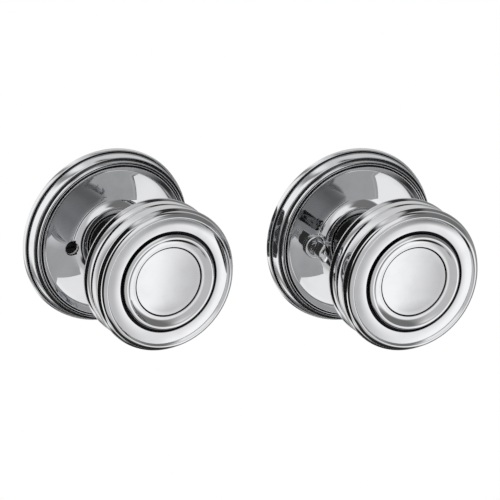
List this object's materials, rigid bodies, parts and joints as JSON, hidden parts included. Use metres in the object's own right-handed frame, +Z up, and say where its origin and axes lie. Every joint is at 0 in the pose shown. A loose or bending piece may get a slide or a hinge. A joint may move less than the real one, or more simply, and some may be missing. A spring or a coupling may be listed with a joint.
{
  "type": "privacy knob lock",
  "caption": "Privacy door knob trim: an inside knob with a thumb turn and an outside knob with an emergency release hole, each on a round dished rose.",
  "frame": {"origin": "centre of the inside rose on the door face it is fixed to", "axes": "X to the right seen from in front of the knob, +Y into the door, +Z up"},
  "size_m": [0.147, 0.1249, 0.0666],
  "materials": {
    "polished_chrome": "mirror polished",
    "zinc_plated_steel": "bright zinc plating",
    "bare_steel": "cold drawn, lightly oiled",
    "spring_steel": "dark tempered steel",
    "brass": "turned brass",
    "nylon": "natural nylon"
  },
  "bodies": {
    "fixed_trim": {"inside_rose": "polished_chrome", "outside_rose": "polished_chrome", "inside_mounting_plate": "zinc_plated_steel", "outside_mounting_plate": "zinc_plated_steel", "inside_shank_bush": "nylon", "outside_shank_bush": "nylon", "inside_thrust_washer": "nylon", "outside_thrust_washer": "nylon", "inside_spring_cover": "zinc_plated_steel", "outside_spring_cover": "zinc_plated_steel", "inside_return_spring": "spring_steel", "outside_return_spring": "spring_steel", "inside_mounting_screws": "zinc_plated_steel", "outside_mounting_posts": "zinc_plated_steel", "turn_collar": "polished_chrome", "release_guide": "brass"},
    "inside_knob_body": {"inside_knob": "polished_chrome", "inside_knob_grub_screw": "spring_steel", "inside_spindle": "bare_steel", "inside_retaining_ring": "spring_steel", "inside_return_hub": "bare_steel"},
    "outside_knob_body": {"outside_knob": "polished_chrome", "outside_knob_grub_screw": "spring_steel", "outside_spindle": "bare_steel", "outside_retaining_ring": "spring_steel", "outside_return_hub": "bare_steel"},
    "turn_body": {"turn_piece": "polished_chrome", "turn_bar": "bare_steel", "turn_clip": "spring_steel"},
    "release_body": {"release_spindle": "bare_steel", "release_clip": "spring_steel"}
  },
  "joints": [
    {"name": "inside_knob_turn", "type": "hinge", "parent": "fixed_trim", "child": "inside_knob_body", "pos_m": [0, 0, 0], "axis": [0, 1, 0], "range_deg": [-50, 50], "stiffness_Nm_per_rad": 0.5, "deforming": ["inside_return_spring"]},
    {"name": "outside_knob_turn", "type": "hinge", "parent": "fixed_trim", "child": "outside_knob_body", "pos_m": [-0.0804, 0.0397, 0], "axis": [0, 1, 0], "range_deg": [-50, 50], "stiffness_Nm_per_rad": 0.5, "deforming": ["outside_return_spring"]},
    {"name": "thumb_turn", "type": "hinge", "parent": "fixed_trim", "child": "turn_body", "pos_m": [-0.0162, 0, -0.0004], "axis": [0, 1, 0], "range_deg": [0, 90]},
    {"name": "release_turn", "type": "hinge", "parent": "fixed_trim", "child": "release_body", "pos_m": [-0.096, 0.0397, -0.0013], "axis": [0, 1, 0], "range_deg": [0, 90]}
  ]
}
